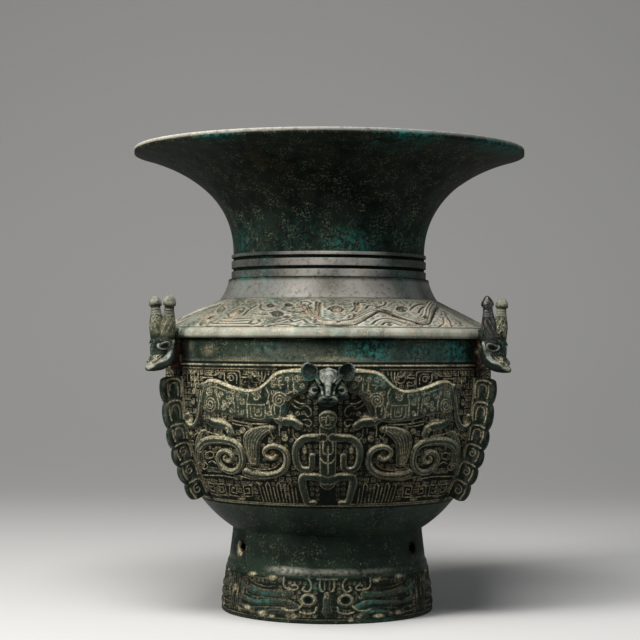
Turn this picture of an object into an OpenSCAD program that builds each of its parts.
// Bronze zun: a wine vessel with a trumpet mouth, a sloping shoulder, a deep belly and a ring foot.
// Dragon heads stand on the shoulder's edge above ribbed flanges, and tiger heads stand between them.
// The origin is on the vessel's axis, on the surface it stands on. The front faces -Y.

/* [Mouth and neck] */
// Radius of the mouth at its lip
mouth_r = 215; // [205:1:225]
// Height of the mouth above the shoulder
neck_h = 166; // [155:1:180]
// Height of the lip's upright edge
lip_h = 6.5; // [5:0.5:9]
// Width of the lip's flat top
lip_w = 4; // [3:0.5:6]
// Radius of the neck at its waist
waist_r = 105.5; // [102:0.5:108]
// Height of the waist above the shoulder
waist_h = 51; // [48:1:58]
// Length of the upright start of the trumpet's curve
trumpet_rise = 65; // [55:1:75]
// Length of the flat end of the trumpet's curve
trumpet_reach = 55; // [45:1:65]
// Tilt of the trumpet at its lip, in degrees
trumpet_tilt = 15; // [10:1:20]
// Radius of the neck where it stands on the shoulder
neck_base_r = 120; // [117:0.5:124]
// How far the foot of the neck stands out of the waist, under the bands
neck_swell = 5; // [3:0.5:7]
// Wall of the neck
neck_wall = 4.5; // [3.5:0.5:6]
// Depth of the neck's spigot in the shoulder
spigot_h = 8; // [5:0.5:10]

/* [Bowstring bands] */
// Number of broad bands round the neck
band_count = 2; // [1:1:2]
// Height of one broad band
band_h = 8.5; // [6:0.5:9.5]
// Step from one band to the next
band_step = 11.5; // [10.5:0.5:12]
// Height of the lowest band above the shoulder
band_z = 22.5; // [20:0.5:24]
// How far a band stands out of the neck
band_rise = 2; // [1:0.5:3]
// Height of the thin ridge above the bands
ridge_h = 4; // [2:0.5:5]

/* [Shoulder] */
// Height of the shoulder
shoulder_h = 42; // [36:1:50]
// How far the eave overhangs the belly
eave_overhang = 8; // [5:0.5:12]
// Height of the eave's upright edge
eave_h = 8; // [7:0.5:11]
// Bevel of the eave's edges
eave_bevel = 1.5; // [0.5:0.25:2]
// Wall of the shoulder
shoulder_wall = 5; // [4:0.5:6]
// Width of the flat seat under the neck
seat_w = 8; // [6:0.5:10]
// Metal left under the neck's spigot
seat_floor = 2; // [1:0.5:4]
// Depth of the ring that laps inside the belly
lap_h = 10; // [6:0.5:14]
// Wall of the ring that laps inside the belly
lap_wall = 4; // [3:0.5:6]

/* [Belly] */
// Largest radius of the belly
belly_r = 179.5; // [172:0.5:186]
// Height of the belly above the foot
belly_h = 206; // [190:1:220]
// Height of the plain band under the eave
plain_band_h = 26; // [20:1:32]
// How far the relief panel stands out of the plain band
panel_rise = 1.5; // [0.5:0.5:3]
// Length of the upright start of the belly's curve
belly_full_h = 92; // [80:1:105]
// Length of the belly's curve that leads into the foot
belly_tuck = 54; // [44:1:64]
// Tilt of the belly where it meets the foot, in degrees
belly_tilt = 33; // [28:1:38]
// How far the bowl's floor hangs below the top of the foot
bowl_drop = 20; // [16:1:26]
// Wall of the belly
belly_wall = 5; // [4:0.5:6.5]

/* [Ring foot] */
// Height of the foot
foot_h = 91; // [80:1:100]
// Radius of the foot under the belly
foot_top_r = 105.3; // [100:0.5:110]
// Radius of the foot where it stands
foot_r = 116.3; // [112:0.5:122]
// Height of the foot's ornament band
foot_band_h = 48; // [40:1:54]
// How far the ornament band stands out
foot_step = 2; // [1:0.5:4]
// Wall of the foot
foot_wall = 5; // [4:0.5:7]
// Height of the cross-shaped holes
cross_z = 73; // [66:1:76]
// Width of a cross-shaped hole
cross_w = 16; // [10:1:20]
// Height of a cross-shaped hole
cross_h = 13; // [10:1:16]
// Width of an arm of the cross
cross_arm = 6; // [4:0.5:8]

/* [Relief] */
// How far the tiger bodies and figures stand out of the belly
relief_h = 2.5; // [1:0.25:4]
// Width of a volute's band at its outer end
volute_w = 8.5; // [6:0.5:10]
// How far the plumes beside the volutes stand out of the belly
plume_h = 1.75; // [1:0.25:3]
// How far the masks stand out of the foot
mask_h = 1.5; // [0.5:0.25:2.5]
// How far the dragon bodies stand out of the shoulder
serpent_h = 2; // [1:0.25:3]
// Width of a dragon body on the shoulder
serpent_w = 13; // [9:0.5:16]
// How far a dragon body winds to each side of its middle line
serpent_swing = 13; // [8:0.5:15]

/* [Flanges] */
// Thickness of a flange
flange_t = 11; // [8:0.5:14]
// How far a flange stands out of the belly
flange_h = 25; // [15:0.5:30]
// How much less the flange stands out at its lower end
flange_taper = 3; // [0:0.5:6]
// Depth of the notches in the flange's edge
flange_notch = 6; // [2:0.5:9]
// Depth of the flange's root in the belly's wall
flange_let = 2; // [1:0.25:3]

/* [Dragon heads] */
// How far the forehead stands out of the eave
dragon_reach = 22; // [18:0.5:26]
// Width of the head
dragon_w = 33; // [28:0.5:38]
// Depth of the head below the belly's rim
dragon_drop = 33; // [28:0.5:37]
// How far the flared lip stands out of the forehead
dragon_lip = 5; // [2:0.5:6]
// Length of the neck on the shoulder
dragon_neck = 16; // [10:0.5:24]
// Thickness of the neck over the eave's edge
dragon_arch = 4; // [3:0.5:6]
// Diameter of the tenon through the eave
dragon_tenon_d = 5.5; // [4:0.25:6]
// Diameter of the clay core in the throat
dragon_core_d = 14; // [10:0.5:16]

/* [Dragon horns] */
// Height of a horn above the head
horn_h = 43; // [34:1:52]
// Distance between the two horns at their foot
horn_gap = 25; // [21:0.5:30]
// Outward lean of a horn, in degrees
horn_lean = 5; // [2:0.5:9]
// Diameter of a horn at its foot
horn_foot_d = 11; // [9.5:0.5:13]
// Diameter of a horn at its swelling
horn_d = 13.5; // [11:0.5:15]
// Diameter of a horn under its knob
horn_neck_d = 8.5; // [7:0.5:10]
// Diameter of a horn's knob
horn_knob_d = 13; // [11:0.5:15]
// Height of a horn's knob
horn_knob_h = 11; // [8:0.5:14]
// Diameter of the peg under a horn
horn_peg_d = 7; // [5:0.5:8]
// Length of the peg under a horn
horn_peg_h = 7; // [5:0.5:9]

/* [Tiger heads] */
// How far the head stands out of the belly
tiger_reach = 32; // [27:0.5:36]
// Depth of the head's middle below the belly's rim
tiger_drop = 47; // [44:0.5:54]
// Height of the head from chin to brow
tiger_h = 40; // [35:0.5:46]
// Width of the forehead
tiger_w = 36; // [31:0.5:42]
// Diameter of an ear
ear_d = 18; // [14:0.5:20]
// Wall of the cupped ear
ear_wall = 3; // [2:0.5:4]
// Diameter of the tenon through the belly
tiger_tenon_d = 10; // [8:0.5:12]
// Diameter of the clay core round the tenon
tiger_core_d = 18; // [15:0.5:20]
// Length of the clay core
tiger_core_h = 14; // [10:0.5:16]

/* [Lock knobs and chaplets] */
// Diameter of a lock knob inside the vessel
knob_d = 16; // [13:0.5:17]
// Side of a chaplet plate
chaplet_w = 9; // [6:0.5:12]
// Radius at which the floor chaplets lie
floor_chaplet_r = 55; // [40:1:70]
// Clearance round a fitted piece
fit_gap = 0.15; // [0.1:0.05:0.3]

/* [Hidden] */
$fn = 96;

bronze = [0.16, 0.23, 0.19];
horn_bronze = [0.36, 0.40, 0.35];
clay = [0.42, 0.27, 0.18];

// Directions of the heads round the axis, in degrees from +X
dragon_right = -30;
dragon_left = -150;
dragon_back = 90;
tiger_front = -90;
tiger_right = 30;
tiger_left = 150;
dragons = [dragon_right, dragon_left, dragon_back];
tigers = [tiger_front, tiger_right, tiger_left];

// Heights of the joints between the sections
seat_z = foot_h + belly_h;
neck_z = seat_z + shoulder_h;
mouth_z = neck_z + neck_h;

// Steps along a curve, and the fineness of a ball inside a hull and of a wall under a knob
curve_n = 14;
ball_fn = 20;
fine_fn = 360;
// Overshoot of a cut past the face it opens
cut = 1;

// Radii that two sections share
eave_r = belly_r + eave_overhang - panel_rise;
plain_r = belly_r - panel_rise;
rim_in_r = plain_r - belly_wall;
lap_in_r = rim_in_r - fit_gap - lap_wall;
neck_bore_r = neck_base_r - seat_w;

// Slope of the shoulder, its top and its underside at a radius
slope = (shoulder_h - eave_h) / (eave_r - neck_base_r);
function shoulder_top(r) = seat_z + shoulder_h - (r - neck_base_r) * slope;
function shoulder_under(r) = shoulder_top(r) - shoulder_wall * sqrt(1 + slope * slope);

// Point on a cubic curve, and a run of such points
function cubic(p, t) = pow(1 - t, 3) * p[0] + 3 * pow(1 - t, 2) * t * p[1]
    + 3 * (1 - t) * t * t * p[2] + pow(t, 3) * p[3];
function run(p, from, to, n) = [for (i = [0:n]) cubic(p, from + (to - from) * i / n)];
// Unit normal of a cubic curve, on the side that faces the axis when the curve runs upwards
function normal(p, t) = let (d = cubic(p, t + 0.001) - cubic(p, t - 0.001)) [-d[1], d[0]] / norm(d);
// Run of points at a distance from the curve, towards the axis
function inset(p, from, to, n, depth) = [for (i = [0:n])
    let (t = from + (to - from) * i / n) cubic(p, t) + depth * normal(p, t)];
function reverse(list) = [for (i = [len(list) - 1:-1:0]) list[i]];

// Curves of the outer wall, each from bottom to top, as [radius, height]
trumpet = [[waist_r, neck_z + waist_h],
    [waist_r, neck_z + waist_h + trumpet_rise],
    [mouth_r - trumpet_reach * cos(trumpet_tilt), mouth_z - lip_h - trumpet_reach * sin(trumpet_tilt)],
    [mouth_r, mouth_z - lip_h]];
neck_foot = [[neck_base_r, neck_z],
    [neck_base_r - neck_swell, neck_z + band_z / 3],
    [waist_r + 1.2 * neck_swell, neck_z + 2 * band_z / 3],
    [waist_r + neck_swell, neck_z + band_z]];
belly_curve = [[foot_top_r, foot_h],
    [foot_top_r + belly_tuck * cos(belly_tilt), foot_h + belly_tuck * sin(belly_tilt)],
    [belly_r, seat_z - plain_band_h - belly_full_h],
    [belly_r, seat_z - plain_band_h]];
// The bowl's seat on the foot is a straight cone, a little wider than the foot's wall
bowl_seat_r = foot_top_r - 2 * foot_wall;
bowl_seat_z = foot_h - 2 * foot_wall * tan(belly_tilt);
bowl_floor = [[0, foot_h - bowl_drop],
    [0.6 * bowl_seat_r, foot_h - bowl_drop],
    [0.8 * bowl_seat_r, bowl_seat_z - 0.2 * bowl_seat_r * tan(belly_tilt)],
    [bowl_seat_r, bowl_seat_z]];

bowl_outside = concat(run(bowl_floor, 0, 1, curve_n), run(belly_curve, 0, 1, curve_n),
    [[plain_r, seat_z - plain_band_h + panel_rise], [plain_r, seat_z]]);
bowl_inside = concat([[0, foot_h - bowl_drop + belly_wall]],
    inset(bowl_floor, 0.05, 1, curve_n, belly_wall), inset(belly_curve, 0, 1, curve_n, belly_wall),
    [[rim_in_r, seat_z]]);

// Turns the children to one of the heads' directions, with +X outwards
module facing(direction) { rotate([0, 0, direction]) children(); }

// Round bar along +X, from one radius to another
module radial_bar(d, from, to, z) {
    translate([from, 0, z]) rotate([0, 90, 0]) cylinder(d = d, h = to - from);
}

// Two balls, one to each side of the middle
module ball_pair(x, y, z, r) {
    for (side = [-1, 1]) translate([x, side * y, z]) sphere(r = r, $fn = ball_fn);
}

// Outer form of the bowl as a full solid, and its hollow
module bowl_solid() { rotate_extrude() polygon(concat(bowl_outside, [[0, seat_z]])); }
module bowl_hollow() { rotate_extrude() polygon(concat(bowl_inside, [[0, seat_z]])); }

// One raised band round the neck
module neck_band(z, h) {
    bevel = band_rise / 2;
    root_r = waist_r - neck_wall / 2;
    top_r = waist_r + band_rise;
    rotate_extrude() polygon([[root_r, z], [top_r - bevel, z], [top_r, z + bevel],
        [top_r, z + h - bevel], [top_r - bevel, z + h], [root_r, z + h]]);
}

module neck_shell() {
    lip_bevel = lip_w / 4;
    spigot_r = neck_bore_r - fit_gap;
    outside = concat([[spigot_r, neck_z - spigot_h], [spigot_r, neck_z]],
        run(neck_foot, 0, 1, 6), [[waist_r, neck_z + band_z]], run(trumpet, 0, 1, curve_n),
        [[mouth_r, mouth_z - lip_bevel], [mouth_r - lip_bevel, mouth_z], [mouth_r - lip_w, mouth_z]]);
    inside = concat([[spigot_r - neck_wall, neck_z - spigot_h], [spigot_r - neck_wall, neck_z],
        [waist_r - neck_wall, neck_z + band_z]], inset(trumpet, 0, 0.95, curve_n, neck_wall));
    rotate_extrude() polygon(concat(outside, reverse(inside)));
    for (i = [0:band_count - 1]) neck_band(neck_z + band_z + i * band_step, band_h);
    neck_band(neck_z + band_z + band_count * band_step, ridge_h);
}

// Square posts that stand for the places of the chaplets
module floor_posts(side) {
    for (i = [0:5]) rotate([0, 0, 60 * i])
        translate([floor_chaplet_r, 0, foot_h - bowl_drop / 2])
            cube([side, side, 2 * bowl_drop + 2 * belly_wall], center = true);
}
module wall_posts(side, z, from, to) {
    for (direction = dragons) for (turn = [-30, 30]) facing(direction + turn)
        translate([(from + to) / 2, 0, z]) cube([to - from, side, side], center = true);
}
// Belly chaplets lie low on the wall, neck chaplets between the bands and the trumpet
belly_chaplet_z = foot_h + belly_h / 6;
neck_chaplet_z = neck_z + band_z + (band_count + 1) * band_step + chaplet_w / 2;
module belly_posts(side) { wall_posts(side, belly_chaplet_z, foot_top_r, belly_r); }
module neck_posts(side) {
    wall_posts(side, neck_chaplet_z, waist_r - 3 * neck_wall, waist_r + 3 * neck_wall);
}

module mouth_and_neck() {
    color(bronze) difference() {
        neck_shell();
        neck_posts(chaplet_w + 2 * fit_gap);
    }
}

// Winding body of a dragon on the shoulder, as points [radius, degrees from the head] of its middle line
serpent_from = 8;
serpent_to = 72;
serpent_turns = 2;
serpent_steps = 28;
serpent_mid_r = (neck_base_r + eave_r) / 2;
function serpent_r(share) = serpent_mid_r + serpent_swing * cos(360 * serpent_turns * share);
function serpent_angle(share) = serpent_from + (serpent_to - serpent_from) * share;
// The body tapers to its tail
function serpent_half(share) = serpent_w / 2 * (1 - 0.55 * share);
function polar(r, a) = [r * cos(a), r * sin(a)];
module serpent() {
    shares = [for (i = [0:serpent_steps]) i / serpent_steps];
    inner = neck_base_r + serpent_h;
    outer = eave_r - eave_bevel;
    intersection() {
        rotate_extrude() polygon([
            for (r = [inner, outer]) [r, shoulder_top(r) + serpent_h],
            for (r = [outer, inner]) [r, shoulder_top(r) - shoulder_wall / 2]]);
        linear_extrude(mouth_z) polygon(concat(
            [for (s = shares) polar(serpent_r(s) + serpent_half(s), -serpent_angle(s))],
            [for (s = reverse(shares)) polar(serpent_r(s) - serpent_half(s), -serpent_angle(s))]));
    }
}

module shoulder() {
    boss_z = neck_z - spigot_h - seat_floor;
    boss_r = neck_base_r + (spigot_h + seat_floor - shoulder_wall * sqrt(1 + slope * slope)) / slope;
    lap_r = rim_in_r - fit_gap;
    color(bronze) difference() {
        union() {
            rotate_extrude() polygon([[neck_bore_r, neck_z], [neck_base_r, neck_z],
                [eave_r - eave_bevel, shoulder_top(eave_r - eave_bevel)],
                [eave_r, shoulder_top(eave_r) - eave_bevel], [eave_r, seat_z + eave_bevel],
                [eave_r - eave_bevel, seat_z], [lap_r, seat_z], [lap_r, seat_z - lap_h],
                [lap_in_r, seat_z - lap_h], [lap_in_r, shoulder_under(lap_in_r)],
                [boss_r, boss_z], [neck_bore_r, boss_z]]);
            for (direction = dragons) facing(direction) serpent();
        }
        for (direction = dragons) facing(direction) {
            radial_bar(dragon_tenon_d + 2 * fit_gap, lap_in_r - cut, eave_r + cut, dragon_tenon_z);
        }
    }
}

module bowl_wall() {
    difference() {
        bowl_solid();
        rotate_extrude() polygon(concat(bowl_inside, [[rim_in_r, seat_z + cut], [0, seat_z + cut]]));
    }
}

// Tiger's body in side view, from its neck round its back, tail and legs, as [degrees from its face,
// depth below the belly's rim in hundredths of the belly's height]
tiger_body = [[9.5, 16.5], [14, 16], [18, 18.4], [21, 22.8], [26, 25.5], [31, 24.8], [36, 23.1], [40, 21.4],
    [43.5, 20.6], [46.5, 22.8], [48.5, 29.6], [51, 37.9], [53, 42.7], [55, 42.2], [56, 37.9],
    [56.5, 44.7], [54, 47.1], [50.5, 45.1], [48, 40.3], [47, 46.1], [42, 44.7], [35, 47.1],
    [35, 43.7], [40, 41.3], [38, 37.4], [33, 38.8], [27, 40.8], [19, 40.3], [17, 44.7], [10, 45.6],
    [10, 42.2], [14, 40.3], [12, 35.4], [9.5, 34]];
// Right half of the squatting figure under the tiger's chin, in the same measures
figure_half = [[0, 43.7], [2, 43.7], [3, 47.1], [8.5, 48.1], [8.8, 61.7], [6.5, 61.7], [6, 52.4], [5.2, 52.4],
    [5, 66], [10.2, 67], [7.5, 81.6], [4.5, 81.6], [6, 71.4], [3, 70.4], [0, 71.8]];
figure_head = [0, 39.8];
figure_head_r = 0.034 * belly_h;
// Middle lines of the two volutes under the tiger, from their outer to their inner ends
outer_volute = [[52.5, 55.8], [49, 52.9], [45, 51.6], [40, 51.2], [35, 52], [32.6, 54.4], [31.9, 58.3],
    [32.5, 62.4], [34.6, 65.5], [38, 67.1], [41.2, 66.3], [43.3, 63.3], [43.2, 60], [41.4, 57.4],
    [38.6, 56.7], [36.6, 58.3], [36.6, 60.8], [38.2, 61.8]];
inner_volute = [[31.5, 67], [27.5, 68.3], [22, 68.2], [18, 66.7], [15.4, 63.8], [14.4, 59.7], [15, 55.8],
    [17.2, 53.7], [20, 53.5], [22.2, 55.3], [22.3, 57.8], [20.8, 59.4], [19, 59.4], [18.4, 58.3]];
// Plumes beside the volutes
inner_plume = [[18.6, 43.4], [22.5, 43.6], [27, 45.4], [29.6, 48.5], [30, 53.9], [29.4, 59.7], [28.6, 62.9],
    [26, 63.1], [25.2, 60.2], [24.6, 55.3], [23.6, 51], [21, 47.3], [18, 45.1]];
outer_plume = [[47.5, 46.8], [50.5, 47.6], [54.5, 52.9], [57, 60.2], [57, 66.5], [53, 62.6], [51.5, 58.3],
    [49.8, 51.9]];
// The middle of the tiger's body, in degrees from its face
tiger_mid = 32;
// Place on a drawing that faces one direction, of a point given in degrees and depth
belly_radii = [for (p = run(belly_curve, 0, 1, curve_n)) [p[1], p[0]]];
function on_wall(p, mid) = let (z = seat_z - belly_h * p[1] / 100)
    [lookup(z, belly_radii) * sin(p[0] - mid), z];

// One side of a band along a line, whose half width runs from one value to another
function band_side(line, from, to, side) = [for (i = [0:len(line) - 1])
    let (d = line[min(i + 1, len(line) - 1)] - line[max(i - 1, 0)])
    let (half = from + (to - from) * i / (len(line) - 1))
    line[i] + side * half * [-d[1], d[0]] / norm(d)];
module band(line, from, to) {
    polygon(concat(band_side(line, from, to, 1), reverse(band_side(line, from, to, -1))));
}
// Drawing on one side of a direction, or its mirror image on the other side
module beside(direction, mid, side) {
    facing(direction + (1 - 2 * side) * mid) facing_drawing() mirror([side, 0]) children();
}

// Skin of the belly, out to the height of a relief
module relief_skin(rise) {
    rotate_extrude() polygon(concat(inset(belly_curve, 0.2, 1, curve_n, -rise),
        reverse(inset(belly_curve, 0.2, 1, curve_n, belly_wall / 2))));
}
// Stands a drawing upright so that it faces +X, and carries it through the wall
module facing_drawing() { rotate([90, 0, 90]) linear_extrude(belly_r + 2 * relief_h) children(); }

module belly_relief(direction) {
    intersection() {
        relief_skin(plume_h);
        for (side = [0, 1]) beside(direction, tiger_mid, side) {
            polygon([for (p = inner_plume) on_wall(p, tiger_mid)]);
            polygon([for (p = outer_plume) on_wall(p, tiger_mid)]);
        }
    }
    intersection() {
        relief_skin(relief_h);
        union() {
            for (side = [0, 1]) beside(direction, tiger_mid, side) {
                polygon([for (p = tiger_body) on_wall(p, tiger_mid)]);
                for (line = [outer_volute, inner_volute])
                    band([for (p = line) on_wall(p, tiger_mid)], volute_w / 2, volute_w / 4);
            }
            facing(direction) facing_drawing() {
                polygon(concat([for (p = figure_half) on_wall(p, 0)],
                    [for (p = reverse(figure_half)) on_wall([-p[0], p[1]], 0)]));
                translate(on_wall(figure_head, 0)) circle(r = figure_head_r);
            }
        }
    }
}

module belly() {
    color(bronze) difference() {
        union() {
            bowl_wall();
            for (direction = tigers) belly_relief(direction);
        }
        for (direction = dragons) facing(direction) flange_groove();
        for (direction = tigers) facing(direction)
            radial_bar(tiger_tenon_d + 2 * fit_gap, rim_in_r - belly_wall, belly_r + cut, tiger_z);
        floor_posts(chaplet_w + 2 * fit_gap);
        belly_posts(chaplet_w + 2 * fit_gap);
    }
}

// Mask on the foot: its eyes, and the lines of its horns, brows and body, as [degrees from its nose,
// height in hundredths of the ornament band]
mask_eye = [9.8, 51];
mask_lines = [[[23, 94], [24.4, 85], [22.6, 76], [17, 73], [13.4, 77], [13, 86]],
    [[9, 94], [7.4, 85], [7.8, 75], [10, 72]],
    [[20, 62], [30, 60], [40, 62], [50, 69], [55, 78]],
    [[16, 35], [22, 44], [32, 43], [42, 40], [52, 46]],
    [[6, 27], [12, 22], [20, 25], [28, 23], [34, 18]]];
mask_mid = 30;
foot_band_r = foot_r - (foot_r - foot_top_r) * foot_band_h / foot_h + foot_step / 2;
function on_foot(p, mid) = [(foot_r + foot_band_r) / 2 * sin(p[0] - mid), foot_band_h * p[1] / 100];

module mask(direction) {
    line_w = foot_band_h / 9;
    top = foot_band_h - foot_step;
    intersection() {
        rotate_extrude() polygon([[foot_r - foot_wall / 2, line_w / 2], [foot_r + mask_h, line_w / 2],
            [foot_band_r + mask_h, top - mask_h], [foot_band_r, top], [foot_band_r - foot_wall / 2, top]]);
        union() {
            for (side = [0, 1]) beside(direction, mask_mid, side) {
                for (line = mask_lines) band([for (p = line) on_foot(p, mask_mid)], line_w / 2, line_w / 3);
                translate(on_foot(mask_eye, mask_mid))
                    polygon([for (a = [0:30:330]) line_w * [1.55 * cos(a), 1.2 * sin(a)]]);
            }
            facing(direction) facing_drawing()
                translate([-line_w, line_w]) square([2 * line_w, top - line_w]);
        }
    }
}

module ring_foot() {
    seat_drop = foot_wall * tan(belly_tilt);
    color(bronze) difference() {
        union() {
            rotate_extrude() polygon([[foot_r - foot_wall, 0], [foot_r, 0],
                [foot_band_r, foot_band_h - foot_step], [foot_band_r - foot_step, foot_band_h],
                [foot_top_r, foot_h], [foot_top_r - foot_wall, foot_h - seat_drop]]);
            for (direction = tigers) mask(direction);
        }
        for (direction = dragons) facing(direction) translate([foot_top_r, 0, cross_z]) {
            cube([6 * foot_wall, cross_w, cross_arm], center = true);
            cube([6 * foot_wall, cross_arm, cross_h], center = true);
        }
    }
}
// The flange follows the belly's curve between these two shares of it, in hooks that end at these
// shares of its run
flange_from = 0.945;
flange_to = 0.36;
flange_splits = [0, 0.17, 0.36, 0.52, 0.67, 0.83, 1];
function flange_t_at(share) = flange_from + (flange_to - flange_from) * share;
// Height of the flange's edge along one hook: full in its middle, notched at its ends
function hook_height(u, share) = flange_h - flange_taper * share - flange_notch * (1 - sqrt(sin(180 * u)));
flange_edge = [for (i = [0:len(flange_splits) - 2]) for (u = [0.02, 0.1, 0.25, 0.5, 0.75, 0.9, 0.98])
    let (share = flange_splits[i] + (flange_splits[i + 1] - flange_splits[i]) * u, t = flange_t_at(share))
    cubic(belly_curve, t) - hook_height(u, share) * normal(belly_curve, t)];

// Stands a drawing of [radius, height] upright, with its radius along +X
module upright() { rotate([90, 0, 0]) children(); }

// Groove for the flange's root in the belly's wall, a gap longer than the root at each end
module flange_groove() {
    spare = fit_gap / belly_h;
    from = flange_t_at(-spare);
    to = flange_t_at(1 + spare);
    upright() linear_extrude(flange_t + 2 * fit_gap, center = true)
        polygon(concat(inset(belly_curve, from, to, curve_n, flange_let),
            reverse(inset(belly_curve, from, to, curve_n, -relief_h - cut))));
}

module flange(direction) {
    color(bronze) facing(direction) upright() linear_extrude(flange_t, center = true)
        polygon(concat(inset(belly_curve, flange_t_at(0), flange_t_at(1), curve_n, flange_let - fit_gap),
            reverse(flange_edge)));
}

// Places of the dragon's head: its top is level with the horns' feet
dragon_tenon_z = seat_z + eave_h / 2;
dragon_top_z = seat_z + eave_bevel;
dragon_front_r = eave_r + dragon_reach;
dragon_core_r = plain_r + fit_gap + dragon_core_d / 2;
horn_r = dragon_front_r - horn_d / 2;

module dragon_head(direction) {
    skull_r = dragon_w / 4;
    lip_r = dragon_w / 7;
    half = dragon_w / 2;
    neck_sink = skull_r / 2;
    nose = [dragon_front_r + dragon_lip - lip_r, seat_z - dragon_drop + lip_r];
    jaw = [eave_r + lip_r, seat_z - 1.5 * lip_r];
    mouth = (nose + jaw) / 2 - [half, half] * 0.45;
    color(bronze) facing(direction) difference() {
        union() {
            hull() {
                ball_pair(dragon_front_r - skull_r, half - skull_r, dragon_top_z - skull_r, skull_r);
                ball_pair(eave_r + skull_r / 2, half - skull_r, dragon_top_z - skull_r, skull_r);
                ball_pair(nose[0] - dragon_lip / 2, 0.8 * half - lip_r, nose[1] + lip_r, lip_r);
            }
            hull() {
                ball_pair(nose[0], half - lip_r, nose[1], lip_r);
                ball_pair(jaw[0], half - lip_r, jaw[1], lip_r);
            }
            hull() {
                ball_pair(eave_r + skull_r / 2, half - skull_r, dragon_top_z - skull_r, 0.9 * skull_r);
                ball_pair(eave_r, half - skull_r - dragon_arch, shoulder_top(eave_r), dragon_arch);
                translate([eave_r - dragon_neck, 0, shoulder_top(eave_r - dragon_neck) - neck_sink])
                    sphere(r = skull_r, $fn = ball_fn);
            }
            for (side = [-1, 1]) horn_place(side)
                translate([0, 0, -half]) cylinder(d = 1.1 * horn_foot_d, h = half);
        }
        dragon_perch();
        for (side = [-1, 1]) horn_place(side)
            translate([0, 0, -horn_peg_h]) cylinder(d = horn_peg_d + 2 * fit_gap, h = horn_peg_h + cut);
        translate([dragon_core_r, 0, seat_z - 2 * dragon_drop])
            cylinder(d = dragon_core_d + 2 * fit_gap, h = 2 * dragon_drop);
        translate([mouth[0], 0, mouth[1]]) sphere(r = 0.8 * half);
    }
    color(bronze) facing(direction)
        radial_bar(dragon_tenon_d, lap_in_r - knob_d / 3, eave_r + dragon_reach / 2, dragon_tenon_z);
}
// Everything under the shoulder's top, out to its eave, with the air that keeps the head off the belly
module dragon_perch() {
    edge_r = eave_r - eave_bevel;
    low_z = seat_z - 2 * dragon_drop;
    rotate_extrude() polygon([[0, low_z], [edge_r, low_z], [edge_r, seat_z], [eave_r, seat_z + eave_bevel],
        [eave_r, shoulder_top(eave_r) - eave_bevel], [edge_r, shoulder_top(edge_r)],
        [neck_base_r, neck_z], [0, neck_z]]);
}

// Foot of a horn on its head, leaning outwards
module horn_place(side) {
    translate([horn_r, side * horn_gap / 2, dragon_top_z]) rotate([-side * horn_lean, 0, 0]) children();
}

module dragon_horn(direction, side) {
    knob_z = horn_h - horn_knob_h;
    knob_rim = horn_knob_h / 4;
    bottle = [[horn_foot_d / 2, 0], [0.54 * horn_d, 0.3 * knob_z], [0.54 * horn_d, 0.6 * knob_z],
        [horn_neck_d / 2, knob_z]];
    dome = [for (a = [0:15:75]) [horn_knob_d / 2 * cos(a),
        knob_z + knob_rim + (horn_knob_h - knob_rim) * sin(a)]];
    color(horn_bronze) facing(direction) horn_place(side) rotate_extrude() polygon(concat(
        [[0, fit_gap - horn_peg_h], [horn_peg_d / 2, fit_gap - horn_peg_h], [horn_peg_d / 2, 0]],
        run(bottle, 0, 1, 8), dome, [[0, horn_h]]));
}

// Room inside the shoulder, from the foot of its lapping ring up to just under its slope
module shoulder_hollow() {
    low_z = seat_z - lap_h;
    rotate_extrude() polygon([[0, low_z], [lap_in_r, low_z], [lap_in_r, shoulder_under(lap_in_r) - fit_gap],
        [neck_bore_r, shoulder_under(neck_bore_r) - fit_gap], [0, shoulder_under(neck_bore_r) - fit_gap]]);
}

module dragon_lock(direction) {
    color(bronze) facing(direction) difference() {
        intersection() {
            translate([lap_in_r, 0, dragon_tenon_z]) sphere(d = knob_d);
            shoulder_hollow($fn = fine_fn);
        }
        radial_bar(dragon_tenon_d + 2 * fit_gap, lap_in_r - knob_d, lap_in_r + cut, dragon_tenon_z);
    }
}

module dragon_core(direction) {
    color(clay) facing(direction) difference() {
        translate([dragon_core_r, 0, seat_z - dragon_drop]) cylinder(d = dragon_core_d, h = dragon_drop);
        bowl_solid();
    }
}

tiger_z = seat_z - tiger_drop;

module tiger_head(direction) {
    brow_r = tiger_h / 4;
    chin_r = tiger_h / 5;
    brow_z = tiger_z + tiger_h / 2 - brow_r;
    chin_z = tiger_z - tiger_h / 2 + chin_r;
    front_r = belly_r + tiger_reach;
    ear_y = 0.53 * tiger_w;
    ear_z = tiger_z + tiger_h / 2 - ear_d / 4;
    ear_x = belly_r + ear_d / 2;
    color(bronze) facing(direction) {
        difference() {
            union() {
                hull() {
                    ball_pair(belly_r, tiger_w / 2 - brow_r, brow_z, brow_r);
                    ball_pair(belly_r + tiger_reach / 2, tiger_w / 3 - brow_r / 2, brow_z, brow_r);
                    ball_pair(belly_r, tiger_w / 2.4 - chin_r, chin_z, chin_r);
                    ball_pair(front_r - chin_r, tiger_w / 4, chin_z + chin_r / 2, chin_r);
                }
                hull() {
                    ball_pair(front_r - chin_r, tiger_w / 2.2 - chin_r, chin_z, chin_r);
                    ball_pair(belly_r + chin_r, tiger_w / 2.2 - chin_r, chin_z, chin_r);
                }
                for (side = [-1, 1]) translate([0, side * ear_y, 0])
                    radial_bar(ear_d, belly_r - belly_wall, ear_x, ear_z);
            }
            bowl_solid();
            for (side = [-1, 1]) translate([0, side * ear_y, 0])
                radial_bar(ear_d - 2 * ear_wall, ear_x - ear_wall, ear_x + tiger_reach, ear_z);
            radial_bar(tiger_core_d + 2 * fit_gap, belly_r - belly_wall, belly_r + tiger_core_h, tiger_z);
        }
        radial_bar(tiger_tenon_d, rim_in_r - knob_d / 3, belly_r + tiger_core_h + brow_r, tiger_z);
    }
}

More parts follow.
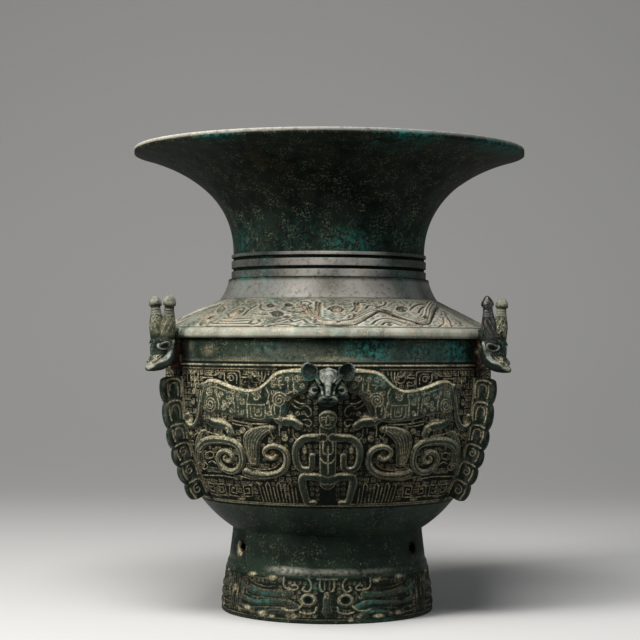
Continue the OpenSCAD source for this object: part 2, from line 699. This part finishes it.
module tiger_lock(direction) {
    color(bronze) facing(direction) difference() {
        intersection() {
            translate([rim_in_r, 0, tiger_z]) sphere(d = knob_d + tiger_tenon_d / 2);
            bowl_hollow($fn = fine_fn);
        }
        radial_bar(tiger_tenon_d + 2 * fit_gap, rim_in_r - knob_d, rim_in_r + belly_wall, tiger_z);
    }
}

module tiger_core(direction) {
    color(clay) facing(direction) difference() {
        radial_bar(tiger_core_d, belly_r - belly_wall, belly_r + tiger_core_h - fit_gap, tiger_z);
        bowl_solid();
        radial_bar(tiger_tenon_d + 2 * fit_gap, rim_in_r, belly_r + tiger_core_h + cut, tiger_z);
    }
}

module floor_chaplets() { color(bronze) intersection() { bowl_wall(); floor_posts(chaplet_w); } }
module belly_chaplets() { color(bronze) intersection() { bowl_wall(); belly_posts(chaplet_w); } }
module neck_chaplets() { color(bronze) intersection() { neck_shell(); neck_posts(chaplet_w); } }

mouth_and_neck();
shoulder();
belly();
ring_foot();
dragon_head(dragon_right);  // dragon_head_right
dragon_head(dragon_left);  // dragon_head_left
dragon_head(dragon_back);  // dragon_head_back
dragon_horn(dragon_right, -1);  // dragon_horn_right_a
dragon_horn(dragon_right, 1);  // dragon_horn_right_b
dragon_horn(dragon_left, -1);  // dragon_horn_left_a
dragon_horn(dragon_left, 1);  // dragon_horn_left_b
dragon_horn(dragon_back, -1);  // dragon_horn_back_a
dragon_horn(dragon_back, 1);  // dragon_horn_back_b
dragon_lock(dragon_right);  // dragon_lock_right
dragon_lock(dragon_left);  // dragon_lock_left
dragon_lock(dragon_back);  // dragon_lock_back
dragon_core(dragon_right);  // dragon_core_right
dragon_core(dragon_left);  // dragon_core_left
dragon_core(dragon_back);  // dragon_core_back
tiger_head(tiger_front);  // tiger_head_front
tiger_head(tiger_right);  // tiger_head_right
tiger_head(tiger_left);  // tiger_head_left
tiger_lock(tiger_front);  // tiger_lock_front
tiger_lock(tiger_right);  // tiger_lock_right
tiger_lock(tiger_left);  // tiger_lock_left
tiger_core(tiger_front);  // tiger_core_front
tiger_core(tiger_right);  // tiger_core_right
tiger_core(tiger_left);  // tiger_core_left
flange(dragon_right);  // flange_right
flange(dragon_left);  // flange_left
flange(dragon_back);  // flange_back
floor_chaplets();
belly_chaplets();
neck_chaplets();
